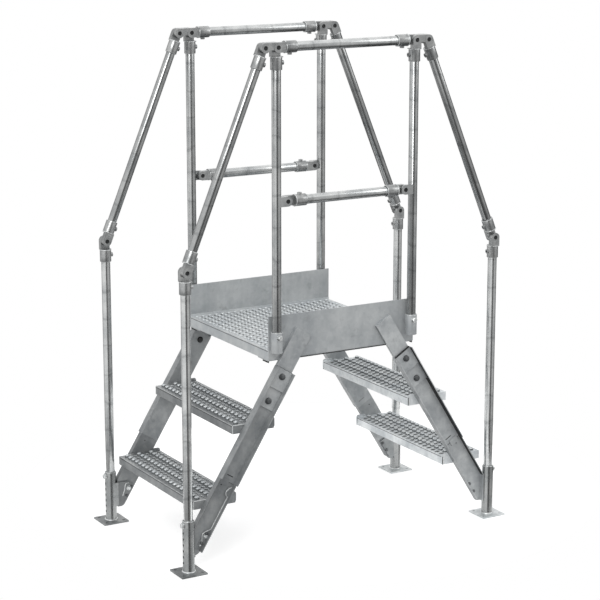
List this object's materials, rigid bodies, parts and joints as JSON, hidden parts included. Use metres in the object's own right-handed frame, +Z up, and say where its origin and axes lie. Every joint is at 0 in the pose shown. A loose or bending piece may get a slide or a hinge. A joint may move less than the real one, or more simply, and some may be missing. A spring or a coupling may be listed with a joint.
{
  "type": "crossover ladder",
  "caption": "Galvanised crossover ladder with a short flight of safety treads up to and down from a raised platform, with swivel fitted pipe handrails along both sides.",
  "frame": {"origin": "on the floor, under the middle of the platform", "axes": "+X along the way across, +Y from the front side to the rear side, +Z up"},
  "size_m": [1.3846, 0.7512, 1.8546],
  "materials": {
    "galvanised_sheet": "hot dip galvanised, matt",
    "galvanised_pipe": "hot dip galvanised, semi matt",
    "galvanised_casting": "hot dip galvanised malleable iron"
  },
  "bodies": {
    "root": {"deck_panel_left": "galvanised_sheet", "deck_panel_right": "galvanised_sheet", "side_board_front": "galvanised_sheet", "side_board_rear": "galvanised_sheet", "stringer_front_left": "galvanised_sheet", "stringer_front_right": "galvanised_sheet", "stringer_rear_left": "galvanised_sheet", "stringer_rear_right": "galvanised_sheet", "leg_bracket_front_left": "galvanised_sheet", "leg_bracket_front_right": "galvanised_sheet", "leg_bracket_rear_left": "galvanised_sheet", "leg_bracket_rear_right": "galvanised_sheet", "foot_bracket_front_left": "galvanised_sheet", "foot_bracket_front_right": "galvanised_sheet", "foot_bracket_rear_left": "galvanised_sheet", "foot_bracket_rear_right": "galvanised_sheet", "tread_left_upper": "galvanised_sheet", "tread_left_lower": "galvanised_sheet", "tread_right_upper": "galvanised_sheet", "tread_right_lower": "galvanised_sheet", "foot_front_left": "galvanised_sheet", "foot_front_right": "galvanised_sheet", "foot_rear_left": "galvanised_sheet", "foot_rear_right": "galvanised_sheet", "outer_post_front_left": "galvanised_pipe", "outer_post_front_right": "galvanised_pipe", "outer_post_rear_left": "galvanised_pipe", "outer_post_rear_right": "galvanised_pipe", "inner_post_front_left": "galvanised_pipe", "inner_post_front_right": "galvanised_pipe", "inner_post_rear_left": "galvanised_pipe", "inner_post_rear_right": "galvanised_pipe", "top_rail_front": "galvanised_pipe", "top_rail_rear": "galvanised_pipe", "mid_rail_front": "galvanised_pipe", "mid_rail_rear": "galvanised_pipe", "slope_rails_front": "galvanised_pipe", "slope_rails_rear": "galvanised_pipe", "elbow_post_sockets": "galvanised_casting", "elbow_rail_sockets": "galvanised_casting", "top_rail_sockets": "galvanised_casting", "slope_rail_sockets": "galvanised_casting", "mid_rail_sockets": "galvanised_casting", "corner_post_castings": "galvanised_casting"}
  },
  "joints": []
}
